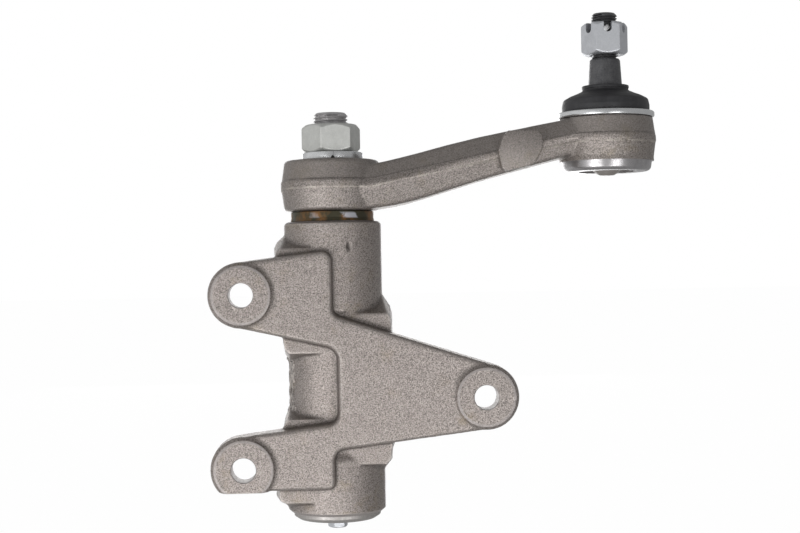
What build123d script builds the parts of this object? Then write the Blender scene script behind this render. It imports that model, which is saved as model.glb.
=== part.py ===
from build123d import *
import os
from math import asin, atan2, cos, degrees, radians, sin, sqrt, tan

# Steering idler arm: a forged bracket holds a greased shaft in two bushes, and a
# forged arm on top of the shaft carries a ball joint for the relay rod.
# Millimetres. +Z runs up the swing axis, the arm points along +X and the bracket
# bolts to the chassis with its pads, which face -Y. The origin is on the swing
# axis at the end cap's lower face.

os.makedirs("parts", exist_ok=True)

# Fits and clearances
running_clearance = 0.04
end_float = 0.1
loose_clearance = 0.3
rubber_clearance = 0.12

# Bracket barrel
barrel_r = 22.4
barrel_waist_r = 20.6
barrel_length = 134.7
barrel_chamfer = 1.0
cap_projection = 3.8
waist_low_z = 30.0
waist_top_drop = 40.5
waist_slope = 4.0

# Idler shaft, bushes and thrust pieces
journal_r = 11.0
bush_wall = 2.5
upper_bush_length = 32.0
lower_bush_length = 28.0
core_relief = 1.0
core_relief_margin = 4.0
shaft_head_r = 16.2
shaft_head_height = 5.0
thrust_washer_height = 2.0
thrust_ring_height = 4.8
thrust_ring_wall = 3.2
grease_way_r = 1.75
grease_cross_r = 1.25

# Shaft end: 1:8 taper, M16 thread, spring washer and hexagon nut
taper_per_length = 0.125
shaft_taper_r = 10.6
taper_shy = 1.8
shaft_thread_r = 8.0
shaft_thread_chamfer = 1.2
shaft_thread_projection = 5.4
spring_washer_r = 14.0
spring_washer_height = 3.6
spring_washer_gap = 0.5
spring_washer_gap_angle = 3.4
spring_washer_slant = 30.0
shaft_nut_flats = 24.0
shaft_nut_height = 13.0
shaft_nut_turn = 10.4
nut_chamfer_angle = 38.0
nut_face_share = 0.97

# Dust seal between barrel and arm
seal_r = 18.95
seal_flange_r = 19.4
seal_flange_height = 0.8
seal_height = 4.6
seal_spigot_r = 17.6
seal_spigot_depth = 3.5
seal_wall = 1.3

# End cap, its O-ring and the grease plug
cap_r = 20.0
cap_face_r = 17.6
cap_face_rise = 1.6
cap_rim_rise = 3.2
cap_depth = 5.0
cap_floor = 4.5
cap_rim_wall = 4.2
cap_boss_r = 6.5
cap_chamber_r = 17.0
cap_chamber_depth = 8.4
o_ring_section_r = 0.8
plug_thread_r = 3.0
plug_thread_length = 7.0
plug_flats = 8.0
plug_head_height = 2.9

# Bracket plate: three lugs joined by a plate in front of the barrel
left_lug_x = -41.4
upper_lug_drop = 32.9
lower_lug_z = 27.9
right_lug_x = 67.5
right_lug_z = 58.0
lug_r = 15.0
lug_thickness = 11.2
pad_r = 13.1
pad_height = 1.8
pad_slope = 1.4
bolt_hole_r = 5.5
plate_face_y = 28.0
plate_draft_angle = 3.0
plate_edge_round = 1.8
upper_edge_angle = 7.0
right_lower_edge_angle = 6.6
gap_upper_edge_angle = -12.9
gap_lower_edge_angle = 6.9
neck_right_x = -0.4
neck_left_x = 1.0
neck_depth = 15.9
foot_z = 17.7
upper_corner_round = 5.0
foot_corner_round = 3.5
foot_lug_round = 3.0
neck_upper_round = 4.0
neck_lower_round = 4.5
gap_upper_round = 6.0
gap_lower_round = 4.5

# Webs behind the plate. Each corner is given on the parting plane and then on the
# front face, as half width and height above the plate's edge beside it.
web_face_y = 20.6
web_back_y = 11.0
web_back_share = 0.78
upper_web_top = ((22.0, 7.2, 23.5, 0.4), (25.9, 3.8, 24.8, -0.4), (27.4, 0.6, 25.8, -1.6))
upper_web_bottom = ((24.0, 4.9, 23.0, 2.6), (23.0, -2.9, 22.4, 0.0), (20.6, -7.7, 20.6, -2.0))
lower_web_top = ((20.9, 5.9, 22.0, 1.0), (23.3, 1.0, 23.3, -1.0), (24.0, -2.4, 23.8, -3.6))
lower_web_bottom = (
    (28.4, -5.2, 26.0, -4.0), (26.6, -7.8, 25.4, -5.4), (24.0, -8.4, 24.2, -5.9), (22.6, -11.0, 22.4, -6.6))
right_web_top = ((22.0, 9.2, 23.5, 0.0), (25.9, 3.0, 24.6, -1.0), (26.9, -0.6, 25.4, -2.4))
right_web_bottom = (
    (27.2, 0.3, 25.2, 0.0), (26.3, -1.7, 24.9, -1.2), (25.9, -7.1, 24.6, -4.5), (22.6, -10.9, 22.4, -7.0))
flash_height = 0.35
flash_half_width = 9.0
flash_inset = 2.0

# Arm forging
arm_reach = 128.6
boss_height = 23.4
boss_top_r = 21.8
boss_parting_r = 23.2
boss_bottom_r = 22.0
boss_parting_height = 11.3
boss_band = 4.4
parting_band = 2.4
parting_proud = 0.4
forging_edge_round = 2.0
beam_half_widths = (21.0, 19.6, 18.2, 16.6, 15.8, 16.4, 16.8)
beam_fractions = (0.0, 0.13, 0.25, 0.44, 0.66, 0.83, 1.0)
beam_top_rises = (-5.4, -2.9, 0.3, 6.5, 12.4, 16.4, 17.2)
beam_bottom_rises = (0.4, 0.5, 2.5, 9.3, 17.2, 22.8, 23.6)
beam_top_lean = 4.6
beam_bottom_lean = 4.0
beam_corner_round = 2.6
stop_pad_proud = 3.0
stop_pad_x = 86.2
stop_pad_corners = (
    (-10.4, -0.5), (-8.7, -7.6), (-6.7, -9.0), (4.1, -6.7), (5.8, -5.7), (9.2, -0.2),
    (10.0, 3.2), (9.3, 6.8), (7.2, 9.1), (-5.6, 8.9), (-8.1, 6.1))
stop_pad_rise = 25.6
stop_pad_root = 5.0
stop_pad_draft_angle = 6.0
stop_pad_round = 0.8

# Ball joint housing, part of the arm forging
housing_r = 21.6
housing_parting_r = 22.8
housing_top_rise = 41.3
housing_height = 25.0
housing_parting_depth = 10.0
housing_skirt_height = 4.6
housing_skirt_r = 20.9
housing_skirt_foot_r = 20.3
housing_lip_round = 2.3
housing_lip_height = 1.2
housing_lip_bore_r = 13.0
socket_r = 14.5
mouth_margin = 0.5
seat_edge_margin = 0.2

# Ball stud and its seats
ball_r = 11.0
ball_depth = 10.0
ball_flat = 9.4
tilt_range = 24.0
stud_neck_r = 6.0
stud_land_r = 8.0
stud_land_rise = 22.6
stud_land_height = 2.6
stud_flare = 2.2
stud_taper_r = 7.8
stud_taper_length = 12.3
stud_thread_r = 6.0
stud_undercut = 0.8
stud_undercut_height = 1.4
stud_thread_length = 20.0
stud_thread_chamfer = 1.0
cotter_hole_r = 1.6
seat_wall_gap = 0.1
pressure_cup_hole_r = 4.0
disc_spring_height = 1.5
disc_spring_thickness = 0.9
disc_spring_bore_r = 6.0
cover_r = 17.0
cover_thickness = 1.5
cover_dome_r = 6.7
cover_dome_drop = 3.0

# Castle nut, M12
castle_nut_flats = 19.0
castle_nut_height = 14.8
castle_nut_rise = 1.95
castle_nut_turn = 0.0
castle_slot_width = 3.7
castle_slot_depth = 5.0

# Dust boot and its rings
boot_ring_r = 22.5
boot_ring_height = 2.7
boot_ring_round = 0.9
boot_base_r = 20.3
boot_flange_r = 21.2
boot_flange_height = 1.2
boot_shoulder_rise = 5.3
boot_crown_rise = 8.8
boot_wall = 1.5
boot_collar_r = 10.9
boot_collar_rise = 12.9
boot_collar_height = 2.2
boot_crown_r = 16.6
boot_waist_r = 10.5
neck_ring_section = 1.0

# Heights worked out from the sizes above
barrel_bottom_z = cap_projection
barrel_top_z = barrel_bottom_z + barrel_length
waist_high_z = barrel_top_z - waist_top_drop
upper_lug_z = barrel_top_z - upper_lug_drop
cap_top_z = barrel_bottom_z + cap_depth
chamber_top_z = cap_top_z + cap_chamber_depth
head_top_z = chamber_top_z - thrust_washer_height - end_float
head_bottom_z = head_top_z - shaft_head_height
arm_bottom_z = barrel_top_z + thrust_ring_height + end_float
arm_top_z = arm_bottom_z + boss_height
arm_parting_z = arm_bottom_z + boss_parting_height
nut_bottom_z = arm_top_z + spring_washer_height
nut_top_z = nut_bottom_z + shaft_nut_height
shaft_top_z = nut_top_z + shaft_thread_projection
housing_top_z = arm_bottom_z + housing_top_rise
housing_bottom_z = housing_top_z - housing_height
ball_z = housing_top_z - ball_depth
cover_bottom_z = housing_bottom_z + housing_lip_height
cover_top_z = cover_bottom_z + cover_thickness
stud_land_z = ball_z + stud_land_rise
stud_taper_z = stud_land_z + stud_land_height
stud_thread_z = stud_taper_z + stud_taper_length
castle_nut_z = stud_thread_z + castle_nut_rise
stud_top_z = stud_thread_z + stud_undercut_height + stud_thread_length
bush_r = journal_r + running_clearance + bush_wall
pad_face_y = plate_face_y + pad_height
lug_back_y = plate_face_y - lug_thickness


def turned(profile):
    """A solid turned about the swing axis from (radius, height) points."""
    outline = Polyline(*[(r, 0, z) for r, z in profile], close=True)
    return revolve(make_face(outline), Axis.Z)


def ring(outer_r, inner_r, low_z, high_z):
    """A plain ring round the swing axis."""
    return turned([(inner_r, low_z), (outer_r, low_z), (outer_r, high_z), (inner_r, high_z)])


def disc(radius, low_z, high_z):
    """A plain cylinder on the swing axis."""
    return Pos(0, 0, low_z) * Cylinder(radius, high_z - low_z, align=(Align.CENTER, Align.CENTER, Align.MIN))


def at_ball(piece):
    """Move a piece from the swing axis to the ball joint's axis."""
    return Pos(arm_reach, 0, 0) * piece


def hexagon(flats, low_z, high_z, turn):
    """A hexagon prism with one flat facing -Y, then turned about Z."""
    corner_r = flats / sqrt(3)
    face = RegularPolygon(corner_r, 6)
    prism = extrude(face, high_z - low_z)
    return Pos(0, 0, low_z) * Rot(0, 0, turn) * prism


def nut_blank(flats, low_z, high_z, turn, top_chamfered):
    """A hexagon with its corners turned off to a cone at the bottom, and at the top if asked."""
    outer_r = flats / sqrt(3) + 0.01
    face_r = flats / 2 * nut_face_share
    drop = (outer_r - face_r) * tan(radians(nut_chamfer_angle))
    profile = [(0, low_z), (face_r, low_z), (outer_r, low_z + drop)]
    if top_chamfered:
        profile += [(outer_r, high_z - drop), (face_r, high_z), (0, high_z)]
    else:
        profile += [(outer_r, high_z + 1), (0, high_z + 1)]
    return hexagon(flats, low_z, high_z, turn) & turned(profile)


def drafted(face, height, angle):
    """Raise a face of the XY plane up +Z, with its walls leaning in by the angle."""
    body = extrude(face, height, taper=angle)
    return body if body.bounding_box().max.Z > height / 2 else mirror(body, Plane.XY)


def write(node, piece):
    """One STEP file for each piece, named as its node."""
    export_step(piece, "parts/" + node + ".step")


# Bracket plate outline in the XZ plane, from the lugs and the directions of its edges
def lug_point(x, z, angle, side):
    """Where an edge at this angle leaves the lug: side +1 is above, -1 below."""
    return (x - side * lug_r * sin(radians(angle)), z + side * lug_r * cos(radians(angle)))


def along(point, angle, x):
    """The point at x on the edge through the given point."""
    return (x, point[1] + (x - point[0]) * tan(radians(angle)))


def gap_upper_corner():
    """Where the gap's upper edge ends, at the neck between the left lugs and the right one."""
    start = lug_point(left_lug_x, upper_lug_z, gap_upper_edge_angle, -1)
    return along(start, gap_upper_edge_angle, neck_left_x)


def neck_upper_corner():
    """Where the plate steps in above the right arm, at a fixed depth over the gap's corner."""
    return (neck_right_x, gap_upper_corner()[1] + neck_depth)


def right_upper_edge_angle():
    """Direction of the edge that runs from the neck's upper corner over the right lug."""
    corner = neck_upper_corner()
    across = right_lug_x - corner[0]
    rise = right_lug_z - corner[1]
    return degrees(atan2(rise, across) + asin(lug_r / sqrt(across ** 2 + rise ** 2)))


def plate_face():
    upper_start = lug_point(left_lug_x, upper_lug_z, upper_edge_angle, 1)
    upper_corner = along(upper_start, upper_edge_angle, neck_right_x)
    neck_upper = neck_upper_corner()
    right_top = lug_point(right_lug_x, right_lug_z, right_upper_edge_angle(), 1)
    right_bottom = lug_point(right_lug_x, right_lug_z, right_lower_edge_angle, -1)
    neck_lower = along(right_bottom, right_lower_edge_angle, neck_right_x)
    foot_corner = (neck_right_x, foot_z)
    foot_half = sqrt(lug_r ** 2 - (lower_lug_z - foot_z) ** 2)
    foot_end = (left_lug_x - foot_half, foot_z)
    lower_top = lug_point(left_lug_x, lower_lug_z, gap_lower_edge_angle, 1)
    gap_lower = along(lower_top, gap_lower_edge_angle, neck_left_x)
    upper_bottom = lug_point(left_lug_x, upper_lug_z, gap_upper_edge_angle, -1)
    gap_upper = gap_upper_corner()
    outline = [
        Line(upper_start, upper_corner),
        Line(upper_corner, neck_upper),
        Line(neck_upper, right_top),
        ThreePointArc(right_top, (right_lug_x + lug_r, right_lug_z), right_bottom),
        Line(right_bottom, neck_lower),
        Line(neck_lower, foot_corner),
        Line(foot_corner, foot_end),
        ThreePointArc(foot_end, (left_lug_x - lug_r, lower_lug_z), lower_top),
        Line(lower_top, gap_lower),
        Line(gap_lower, gap_upper),
        Line(gap_upper, upper_bottom),
        ThreePointArc(upper_bottom, (left_lug_x - lug_r, upper_lug_z), upper_start),
    ]
    face = make_face(outline)
    rounds = [
        (upper_corner, upper_corner_round), (neck_upper, neck_upper_round),
        (neck_lower, neck_lower_round), (foot_corner, foot_corner_round),
        (foot_end, foot_lug_round), (gap_lower, gap_lower_round), (gap_upper, gap_upper_round)]
    for point, radius in rounds:
        corner = face.vertices().sort_by_distance((point[0], point[1], 0))[0]
        face = fillet(corner, radius)
    return face


def facing_front(face, back_y):
    """Stand a drawn face up in the XZ plane at y = -back_y, seen from the front."""
    return Plane(origin=(0, -back_y, 0), x_dir=(1, 0, 0), z_dir=(0, -1, 0)) * face


def plate():
    outline = plate_face()
    body = drafted(outline, lug_thickness, plate_draft_angle)
    front = body.faces().sort_by(Axis.Z)[-1]
    body = fillet(front.edges(), plate_edge_round)
    return facing_front(body, lug_back_y)


def web_block(side, top_z, top_corners, bottom_z, bottom_corners):
    """A block round the barrel, widest at the parting plane, narrower in front and behind."""
    parting = [(0, top_z + top_corners[0][1])]
    front = [(0, top_z + top_corners[0][3])]
    for edge_z, corners in ((top_z, top_corners), (bottom_z, bottom_corners)):
        for back_x, back_rise, face_x, face_rise in corners:
            parting.append((side * back_x, edge_z + back_rise))
            front.append((side * face_x, edge_z + face_rise))
    parting.append((0, parting[-1][1]))
    front.append((0, front[-1][1]))
    middle_z = (parting[0][1] + parting[-1][1]) / 2
    behind = [(x * web_back_share, middle_z + (z - middle_z) * web_back_share) for x, z in parting]
    outlines = []
    for height, points in ((-web_back_y, behind), (0, parting), (web_face_y, front)):
        outlines.append(Pos(0, 0, height) * make_face(Polyline(*points, close=True)))
    return facing_front(loft(outlines, ruled=True), 0)


def edge_height_on_axis(x, z, angle, side):
    """Height at which an edge of the plate would cross the swing axis."""
    return along(lug_point(x, z, angle, side), angle, 0)[1]


def webs():
    """The three blocks that carry the plate, each a little outside the plate's edge."""
    upper_top_z = edge_height_on_axis(left_lug_x, upper_lug_z, upper_edge_angle, 1)
    gap_top_z = edge_height_on_axis(left_lug_x, upper_lug_z, gap_upper_edge_angle, -1)
    gap_bottom_z = edge_height_on_axis(left_lug_x, lower_lug_z, gap_lower_edge_angle, 1)
    right_top_z = edge_height_on_axis(right_lug_x, right_lug_z, right_upper_edge_angle(), 1)
    right_bottom_z = edge_height_on_axis(right_lug_x, right_lug_z, right_lower_edge_angle, -1)
    upper_left = web_block(-1, upper_top_z, upper_web_top, gap_top_z, upper_web_bottom)
    lower_left = web_block(-1, gap_bottom_z, lower_web_top, foot_z, lower_web_bottom)
    right = web_block(1, right_top_z, right_web_top, right_bottom_z, right_web_bottom)
    return upper_left + lower_left + right


def lug_pads():
    """Raised seats round the bolt holes, cut off where the lower lug is cut off."""
    lug_outline = extrude(plate_face(), pad_face_y, dir=(0, 0, 1))
    pads = []
    for x, z in ((left_lug_x, upper_lug_z), (left_lug_x, lower_lug_z), (right_lug_x, right_lug_z)):
        pad = extrude(Circle(pad_r + pad_slope), pad_height + plate_edge_round)
        pad = chamfer(pad.edges().sort_by(Axis.Z)[-1], length=pad_height, length2=pad_slope)
        pads.append(Pos(x, 0, z) * facing_front(pad, plate_face_y - plate_edge_round))
    return [pad & facing_front(lug_outline, 0) for pad in pads]


def bracket():
    barrel = turned([
        (0, barrel_bottom_z), (barrel_r - barrel_chamfer, barrel_bottom_z),
        (barrel_r, barrel_bottom_z + barrel_chamfer), (barrel_r, waist_low_z),
        (barrel_waist_r, waist_low_z + waist_slope), (barrel_waist_r, waist_high_z - waist_slope),
        (barrel_r, waist_high_z), (barrel_r, barrel_top_z - barrel_chamfer),
        (barrel_r - barrel_chamfer, barrel_top_z), (0, barrel_top_z)])
    flash_low_z = waist_low_z + waist_slope + flash_inset
    flash_high_z = waist_high_z - waist_slope - flash_inset
    flash_band = Pos(0, 0, (flash_low_z + flash_high_z) / 2) * Box(
        4 * barrel_r, 2 * flash_half_width, flash_high_z - flash_low_z)
    flash = disc(barrel_waist_r + flash_height, flash_low_z, flash_high_z) & flash_band
    body = barrel + flash + webs() + plate()
    for pad in lug_pads():
        body += pad
    body -= disc(bush_r, barrel_bottom_z - 1, barrel_top_z + 1)
    relief_low_z = chamber_top_z + lower_bush_length + core_relief_margin
    relief_high_z = barrel_top_z - upper_bush_length - core_relief_margin
    body -= disc(bush_r + core_relief, relief_low_z, relief_high_z)
    body -= disc(cap_r, barrel_bottom_z - 1, cap_top_z)
    body -= disc(cap_chamber_r, cap_top_z - 1, chamber_top_z)
    body -= disc(seal_spigot_r, barrel_top_z - seal_spigot_depth, barrel_top_z + 1)
    for x, z in ((left_lug_x, upper_lug_z), (left_lug_x, lower_lug_z), (right_lug_x, right_lug_z)):
        hole = extrude(Circle(bolt_hole_r), pad_face_y + lug_thickness)
        body -= Pos(x, 0, z) * facing_front(hole, 0)
    return body


def bush(low_z, length):
    return ring(bush_r, journal_r + running_clearance, low_z, low_z + length)


def idler_shaft():
    """Head, journal, 1:8 taper and threaded end, drilled up its middle for grease."""
    taper_start_z = arm_bottom_z - end_float
    taper_end_z = arm_top_z - taper_shy
    taper_end_r = shaft_taper_r - (taper_end_z - arm_bottom_z) * taper_per_length / 2
    body = turned([
        (0, head_bottom_z), (shaft_head_r, head_bottom_z), (shaft_head_r, head_top_z),
        (journal_r, head_top_z), (journal_r, taper_start_z), (shaft_taper_r, taper_start_z),
        (shaft_taper_r, arm_bottom_z), (taper_end_r, taper_end_z), (shaft_thread_r, taper_end_z),
        (shaft_thread_r, shaft_top_z - shaft_thread_chamfer),
        (shaft_thread_r - shaft_thread_chamfer, shaft_top_z), (0, shaft_top_z)])
    cross_z = (chamber_top_z + lower_bush_length + barrel_top_z - upper_bush_length) / 2
    body -= disc(grease_way_r, head_bottom_z - 1, cross_z)
    body -= Pos(0, 0, cross_z - grease_way_r) * Rot(0, 90, 0) * Cylinder(grease_cross_r, 3 * journal_r)
    return body


def seal_shell():
    """Pressed steel case: a spigot in the barrel and a wider wall above it."""
    floor_z = barrel_top_z + seal_wall
    return turned([
        (seal_spigot_r - seal_wall, barrel_top_z - seal_spigot_depth),
        (seal_spigot_r, barrel_top_z - seal_spigot_depth), (seal_spigot_r, barrel_top_z),
        (seal_flange_r, barrel_top_z), (seal_flange_r, barrel_top_z + seal_flange_height),
        (seal_r, barrel_top_z + seal_flange_height), (seal_r, barrel_top_z + seal_height),
        (seal_r - seal_wall, barrel_top_z + seal_height), (seal_r - seal_wall, floor_z),
        (seal_spigot_r - seal_wall, floor_z)])


def seal_lip():
    """Rubber bonded into the seal's case, with its lip round the thrust ring."""
    lip_r = journal_r + loose_clearance + thrust_ring_wall + rubber_clearance
    case_r = seal_spigot_r - seal_wall
    floor_z = barrel_top_z + seal_wall
    return turned([
        (lip_r + seal_wall / 2, barrel_top_z - seal_spigot_depth),
        (case_r, barrel_top_z - seal_spigot_depth), (case_r, floor_z), (seal_r - seal_wall, floor_z),
        (seal_r - seal_wall, barrel_top_z + seal_height - seal_wall / 2),
        (lip_r + seal_wall, barrel_top_z + seal_height - seal_wall / 2),
        (lip_r, barrel_top_z + seal_height / 2)])


def end_cap():
    """Dished steel cap with a grooved rim and a tapped boss for the plug."""
    groove_z = (barrel_bottom_z + cap_top_z) / 2
    rim_inner_r = cap_r - cap_rim_wall
    body = turned([
        (plug_thread_r, 0), (cap_boss_r, 0), (cap_boss_r, cap_face_rise), (cap_face_r, cap_face_rise),
        (cap_r, cap_rim_rise), (cap_r, cap_top_z),
        (rim_inner_r, cap_top_z), (rim_inner_r, cap_floor), (cap_boss_r, cap_floor),
        (cap_boss_r, plug_thread_length + loose_clearance), (plug_thread_r, plug_thread_length + loose_clearance)])
    groove_depth = 2 * o_ring_section_r
    return body - ring(cap_r + 1, cap_r - groove_depth, groove_z - o_ring_section_r, groove_z + o_ring_section_r)


def cap_o_ring():
    groove_z = (barrel_bottom_z + cap_top_z) / 2
    return Pos(0, 0, groove_z) * Torus(cap_r - o_ring_section_r, o_ring_section_r)


def grease_plug():
    head = nut_blank(plug_flats, -plug_head_height, 0, shaft_nut_turn, False)
    return head + disc(plug_thread_r, 0, plug_thread_length)


def arm_beam():
    """The forged beam: octagon sections widest at the parting line, joined smoothly."""
    sections = []
    for share, half_width, top, bottom in zip(
            beam_fractions, beam_half_widths, beam_top_rises, beam_bottom_rises):
        top_z = arm_top_z + top
        bottom_z = arm_bottom_z + bottom
        parting_z = (top_z + bottom_z) / 2
        half_band = parting_band / 2
        corners = [
            (half_width - beam_bottom_lean, bottom_z), (half_width, parting_z - half_band),
            (half_width, parting_z + half_band), (half_width - beam_top_lean, top_z),
            (beam_top_lean - half_width, top_z), (-half_width, parting_z + half_band),
            (-half_width, parting_z - half_band), (beam_bottom_lean - half_width, bottom_z)]
        place = Plane(origin=(share * arm_reach, 0, 0), x_dir=(0, 1, 0), z_dir=(1, 0, 0))
        face = make_face(Polyline(*corners, close=True))
        outer_corners = corners[:1] + corners[3:5] + corners[7:]
        rounded = [face.vertices().sort_by_distance((y, z, 0))[0] for y, z in outer_corners]
        sections.append(place * fillet(rounded, beam_corner_round))
    return loft(sections)


def arm_boss():
    low_z = arm_parting_z - boss_band / 2
    high_z = arm_parting_z + boss_band / 2
    body = turned([
        (0, arm_bottom_z), (boss_bottom_r, arm_bottom_z), (boss_parting_r, low_z),
        (boss_parting_r + parting_proud, low_z), (boss_parting_r + parting_proud, high_z),
        (boss_parting_r, high_z), (boss_top_r, arm_top_z), (0, arm_top_z)])
    rims = body.edges().filter_by(GeomType.CIRCLE).sort_by(Axis.Z)
    return fillet([rims[0], rims[-1]], forging_edge_round)


def ball_housing():
    """Forged cup, turned below into a skirt whose lip is rolled over the cover."""
    parting_z = housing_top_z - housing_parting_depth
    band = parting_band / 2
    skirt_z = housing_bottom_z + housing_skirt_height
    body = turned([
        (0, housing_bottom_z), (housing_skirt_foot_r, housing_bottom_z), (housing_skirt_r, skirt_z),
        (housing_r, skirt_z), (housing_parting_r, parting_z - band),
        (housing_parting_r + parting_proud / 2, parting_z - band),
        (housing_parting_r + parting_proud / 2, parting_z + band),
        (housing_parting_r, parting_z + band), (housing_r, housing_top_z), (0, housing_top_z)])
    rims = body.edges().filter_by(GeomType.CIRCLE).sort_by(Axis.Z)
    return at_ball(fillet(rims[0], housing_lip_round))


def stop_pad():
    """Flat raised seat on the beam's side, where a steering stop would touch."""
    outline = Polyline(*stop_pad_corners, close=True)
    root_y = beam_half_widths[-2] - stop_pad_root
    pad = drafted(make_face(outline), stop_pad_root + stop_pad_proud, stop_pad_draft_angle)
    pad = chamfer(pad.faces().sort_by(Axis.Z)[-1].edges(), stop_pad_round)
    return Pos(stop_pad_x, 0, arm_bottom_z + stop_pad_rise) * facing_front(pad, root_y)


def mouth_radius(rise):
    """Radius that the stud's neck sweeps at a height above the ball's centre."""
    tilt = radians(tilt_range)
    return rise * tan(tilt) + stud_neck_r / cos(tilt) + mouth_margin


def seat_top_rise():
    """How far up the ball the seat may reach before the tilted neck would touch it."""
    neck_angle = sin(radians(tilt_range)) * sqrt(1 - (stud_neck_r / ball_r) ** 2)
    edge_sine = neck_angle + cos(radians(tilt_range)) * stud_neck_r / ball_r
    return ball_r * sqrt(1 - edge_sine ** 2) - seat_edge_margin


def arm():
    body = arm_boss() + arm_beam() + ball_housing() + stop_pad()
    bore_top_r = shaft_taper_r - boss_height * taper_per_length / 2
    body -= turned([(0, arm_bottom_z), (shaft_taper_r, arm_bottom_z), (bore_top_r, arm_top_z), (0, arm_top_z)])
    roof_z = ball_z + seat_top_rise()
    cavity = turned([
        (0, housing_bottom_z - 1), (housing_lip_bore_r, housing_bottom_z - 1),
        (housing_lip_bore_r, cover_bottom_z), (cover_r, cover_bottom_z), (cover_r, cover_top_z),
        (socket_r, cover_top_z), (socket_r, roof_z), (mouth_radius(roof_z - ball_z), roof_z),
        (mouth_radius(housing_top_z - ball_z), housing_top_z), (0, housing_top_z)])
    return body - at_ball(cavity)


def spring_washer():
    """Split ring with the ends cut on a slant."""
    body = ring(spring_washer_r, shaft_thread_r + loose_clearance, arm_top_z, nut_bottom_z)
    middle = Pos(0, -spring_washer_r, (arm_top_z + nut_bottom_z) / 2)
    slit = middle * Rot(0, spring_washer_slant, 0) * Box(
        spring_washer_gap, 2 * spring_washer_r, 4 * spring_washer_height)
    return body - Rot(0, 0, spring_washer_gap_angle) * slit


def shaft_nut():
    blank = nut_blank(shaft_nut_flats, nut_bottom_z, nut_top_z, shaft_nut_turn, True)
    return blank - disc(shaft_thread_r, nut_bottom_z - 1, nut_top_z + 1)


def ball_space(low_z, high_z):
    """The ball with its running clearance, cut off between two heights."""
    return (Pos(0, 0, ball_z) * Sphere(ball_r + running_clearance)) & disc(2 * ball_r, low_z, high_z)


def upper_ball_seat():
    top_z = ball_z + seat_top_rise()
    return at_ball(disc(socket_r, ball_z, top_z) - ball_space(ball_z - ball_r, top_z + 1))


def pressure_cup():
    low_z = cover_top_z + disc_spring_height + running_clearance
    high_z = ball_z - loose_clearance
    body = disc(socket_r - seat_wall_gap, low_z, high_z) - ball_space(ball_z - 2 * ball_r, high_z + 1)
    return at_ball(body - disc(pressure_cup_hole_r, low_z - 1, ball_z))


def disc_spring():
    low_z = cover_top_z
    outer_r = socket_r - loose_clearance
    top_z = low_z + disc_spring_height
    return at_ball(turned([
        (disc_spring_bore_r, top_z), (disc_spring_bore_r, top_z - disc_spring_thickness),
        (outer_r, low_z), (outer_r, low_z + disc_spring_thickness)]))


def cover_plate():
    """Steel disc with a small dome pressed out of its middle."""
    dome = turned([
        (0, cover_bottom_z - cover_dome_drop), (cover_dome_r / 2, cover_bottom_z - cover_dome_drop),
        (cover_dome_r, cover_bottom_z - cover_dome_drop / 2), (cover_dome_r, cover_bottom_z), (0, cover_bottom_z)])
    body = disc(cover_r, cover_bottom_z, cover_top_z) + dome
    hollow_r = cover_dome_r - cover_thickness
    return at_ball(body - disc(hollow_r, cover_bottom_z - cover_dome_drop + cover_thickness, cover_top_z + 1))


def ball_stud():
    """Ball, neck, land for the boot, 1:8 taper, undercut and threaded end."""
    flat_z = ball_z - ball_flat
    ball = (Pos(0, 0, ball_z) * Sphere(ball_r)) & disc(2 * ball_r, flat_z, ball_z + ball_r)
    flare_z = stud_land_z - stud_flare
    taper_top_r = stud_taper_r - stud_taper_length * taper_per_length / 2
    undercut_r = stud_thread_r - stud_undercut
    thread_z = stud_thread_z + stud_undercut_height
    stem = turned([
        (0, ball_z), (stud_neck_r, ball_z), (stud_neck_r, flare_z), (stud_land_r, stud_land_z),
        (stud_land_r, stud_taper_z), (stud_taper_r, stud_taper_z), (taper_top_r, stud_thread_z),
        (undercut_r, stud_thread_z), (undercut_r, thread_z), (stud_thread_r, thread_z),
        (stud_thread_r, stud_top_z - stud_thread_chamfer),
        (stud_thread_r - stud_thread_chamfer, stud_top_z), (0, stud_top_z)])
    hole_z = castle_nut_z + castle_nut_height - castle_slot_depth / 2
    cotter = Pos(0, 0, hole_z) * Rot(0, 0, castle_nut_turn) * Rot(90, 0, 0) * Cylinder(cotter_hole_r, 4 * stud_thread_r)
    return at_ball(ball + stem - cotter)


def castle_nut():
    top_z = castle_nut_z + castle_nut_height
    body = nut_blank(castle_nut_flats, castle_nut_z, top_z, castle_nut_turn, True)
    body -= disc(stud_thread_r, castle_nut_z - 1, top_z + 1)
    slot_r = castle_slot_width / 2
    floor_z = top_z - castle_slot_depth + slot_r
    slot = Pos(0, 0, (floor_z + top_z + 1) / 2) * Box(castle_slot_width, 2 * castle_nut_flats, top_z + 1 - floor_z)
    slot += Pos(0, 0, floor_z) * Rot(90, 0, 0) * Cylinder(slot_r, 2 * castle_nut_flats)
    for turn in (0, 60, 120):
        body -= Rot(0, 0, castle_nut_turn + turn) * slot
    return at_ball(body)


def boot_ring():
    """Zinc plated ring that holds the boot's flange down on the housing."""
    flange_top_z = housing_top_z + rubber_clearance + boot_flange_height + rubber_clearance
    inner_r = boot_base_r + rubber_clearance
    body = turned([
        (boot_flange_r + rubber_clearance, housing_top_z), (boot_ring_r, housing_top_z),
        (boot_ring_r, housing_top_z + boot_ring_height), (inner_r, housing_top_z + boot_ring_height),
        (inner_r, flange_top_z), (boot_flange_r + rubber_clearance, flange_top_z)])
    outer_edges = body.edges().filter_by(GeomType.CIRCLE).filter_by(lambda e: e.radius > boot_ring_r - 0.01)
    return at_ball(fillet(outer_edges, boot_ring_round))


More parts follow.
